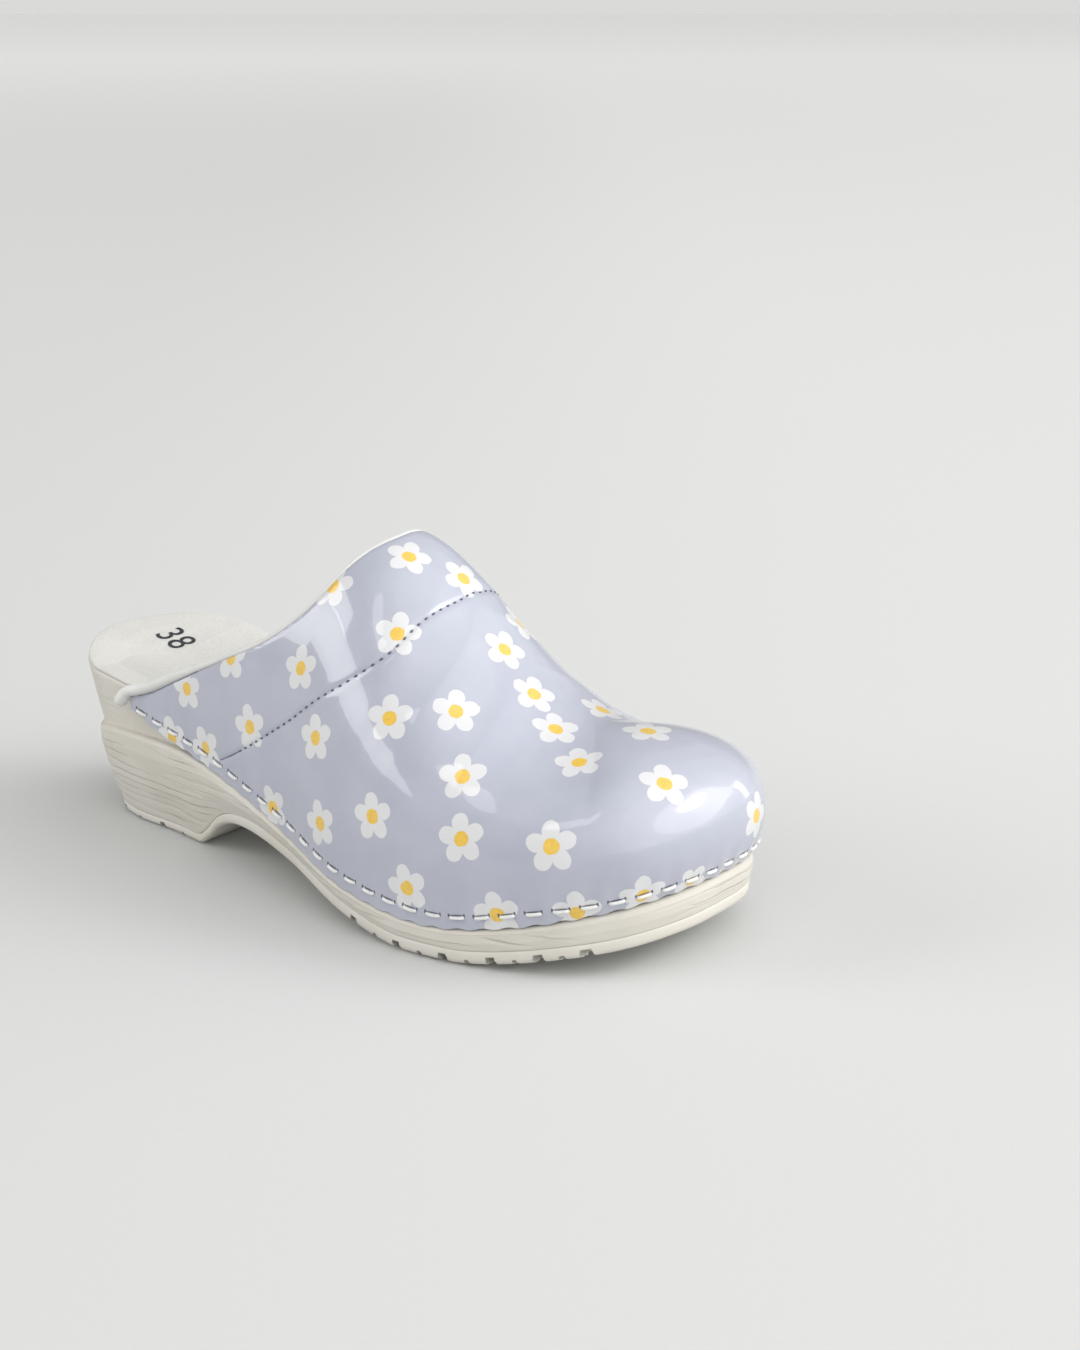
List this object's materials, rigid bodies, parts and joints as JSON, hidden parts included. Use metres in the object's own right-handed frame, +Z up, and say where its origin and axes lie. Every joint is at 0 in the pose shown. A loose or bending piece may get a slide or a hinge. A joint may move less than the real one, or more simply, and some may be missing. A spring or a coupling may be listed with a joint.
{
  "type": "clog",
  "caption": "Closed-toe, open-back clog: moulded platform sole with raised heel, stapled patent leather upper, rolled collar edge, collar stitching and padded footbed.",
  "frame": {"origin": "middle of the bounding box in X and Y, on the ground under the shoe", "axes": "+X from heel to toe, +Y to the inner (medial) side of this right shoe, +Z up"},
  "size_m": [0.258, 0.106, 0.1137],
  "materials": {
    "moulded_sole": "off-white moulded polyurethane with shallow embossed wood grain, satin",
    "tread": "off-white moulded tread, matt",
    "spring_steel": "plain rolled strip",
    "foam": "closed-cell foam, matt",
    "insock_cover": "off-white pebble-grained cover, matt",
    "patent_leather": "periwinkle patent leather printed with white daisies, high gloss",
    "lining_leather": "smooth off-white lining leather, matt",
    "puff_board": "thermoplastic stiffener sheet",
    "edge_roll": "white smooth leather roll, satin",
    "thread": "dark bonded sewing thread",
    "staple_lacquer": "white lacquered wire, glossy"
  },
  "bodies": {
    "root": {"sole_body": "moulded_sole", "outsole": "tread", "shank": "spring_steel", "footbed": "foam", "insock": "insock_cover", "upper": "patent_leather", "vamp_lining": "lining_leather", "collar_foam_lateral": "foam", "collar_foam_medial": "foam", "collar_lining_lateral": "lining_leather", "collar_lining_medial": "lining_leather", "toe_puff": "puff_board", "topline_piping": "edge_roll", "collar_stitching": "thread", "staples_lateral": "staple_lacquer", "staples_toe": "staple_lacquer", "staples_medial": "staple_lacquer"}
  },
  "joints": []
}
